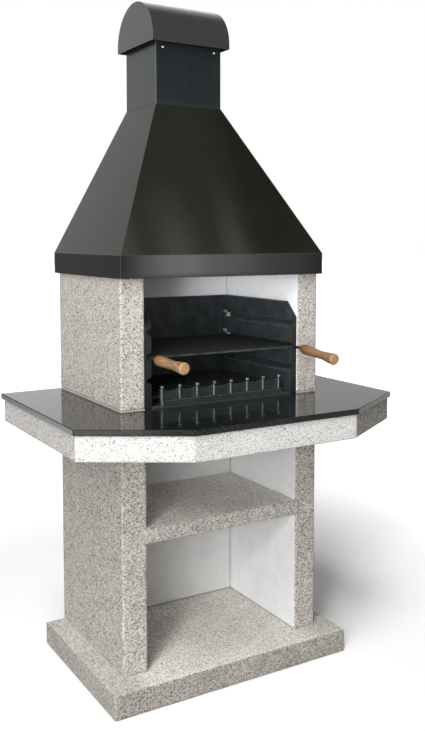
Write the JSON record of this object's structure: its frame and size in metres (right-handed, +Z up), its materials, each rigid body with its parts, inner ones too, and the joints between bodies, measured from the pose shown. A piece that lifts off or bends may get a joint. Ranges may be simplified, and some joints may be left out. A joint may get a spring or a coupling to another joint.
{
  "type": "outdoor masonry barbecue",
  "caption": "Free-standing charcoal barbecue of stone-chip blocks with a granite worktop, an iron firebox, a sliding cooking grid and a sheet-metal hood with a chimney.",
  "frame": {"origin": "centre of the base slab's underside", "axes": "+Z up; -Y to the front, where the cook stands; +X to the cook's right"},
  "size_m": [1.144, 0.8345, 2.197],
  "materials": {
    "stone_chip": "matte",
    "worktop_concrete": "matte",
    "white_concrete": "matte",
    "mortar": "matte",
    "black_granite": "polished",
    "firebox_iron": "satin",
    "grid_steel": "satin",
    "frame_steel": "satin",
    "zinc_steel": "satin",
    "turned_wood": "satin",
    "hood_paint": "satin"
  },
  "bodies": {
    "masonry": {"base_slab": "stone_chip", "lower_left_wall": "stone_chip", "lower_right_wall": "stone_chip", "lower_back_wall": "white_concrete", "lower_left_foot_mortar": "mortar", "lower_right_foot_mortar": "mortar", "lower_back_foot_mortar": "mortar", "lower_left_top_mortar": "mortar", "lower_right_top_mortar": "mortar", "lower_back_top_mortar": "mortar", "storage_shelf": "stone_chip", "worktop_casting": "worktop_concrete", "granite_top": "black_granite", "upper_left_wall": "stone_chip", "upper_right_wall": "stone_chip", "upper_back_wall": "white_concrete", "upper_left_foot_mortar": "mortar", "upper_right_foot_mortar": "mortar", "upper_back_foot_mortar": "mortar", "firebox_left_panel": "firebox_iron", "firebox_right_panel": "firebox_iron", "fireback": "firebox_iron", "hearth_plate": "firebox_iron", "hood_seat_ring": "frame_steel", "ring_anchor_1": "zinc_steel", "ring_anchor_2": "zinc_steel", "ring_anchor_3": "zinc_steel", "ring_anchor_4": "zinc_steel", "hood": "hood_paint", "chimney_duct": "hood_paint", "chimney_cap": "hood_paint", "cap_strap_left": "frame_steel", "cap_strap_right": "frame_steel", "cap_screw_front_left": "zinc_steel", "cap_screw_front_right": "zinc_steel", "cap_screw_back_left": "zinc_steel", "cap_screw_back_right": "zinc_steel"},
    "grid": {"cooking_grid": "grid_steel", "left_ferrule": "zinc_steel", "right_ferrule": "zinc_steel", "left_grip": "turned_wood", "right_grip": "turned_wood"},
    "guard": {"ember_guard": "firebox_iron"},
    "grate": {"charcoal_grate": "firebox_iron"}
  },
  "joints": [
    {"name": "grid_slide", "type": "slide", "parent": "masonry", "child": "grid", "axis": [0, -1, 0], "range_m": [0, 0.25]},
    {"name": "guard_lift", "type": "slide", "parent": "masonry", "child": "guard", "axis": [0, 0, 1], "range_m": [0, 0.06]},
    {"name": "grate_lift", "type": "slide", "parent": "masonry", "child": "grate", "axis": [0, 0, 1], "range_m": [0, 0.06]}
  ]
}
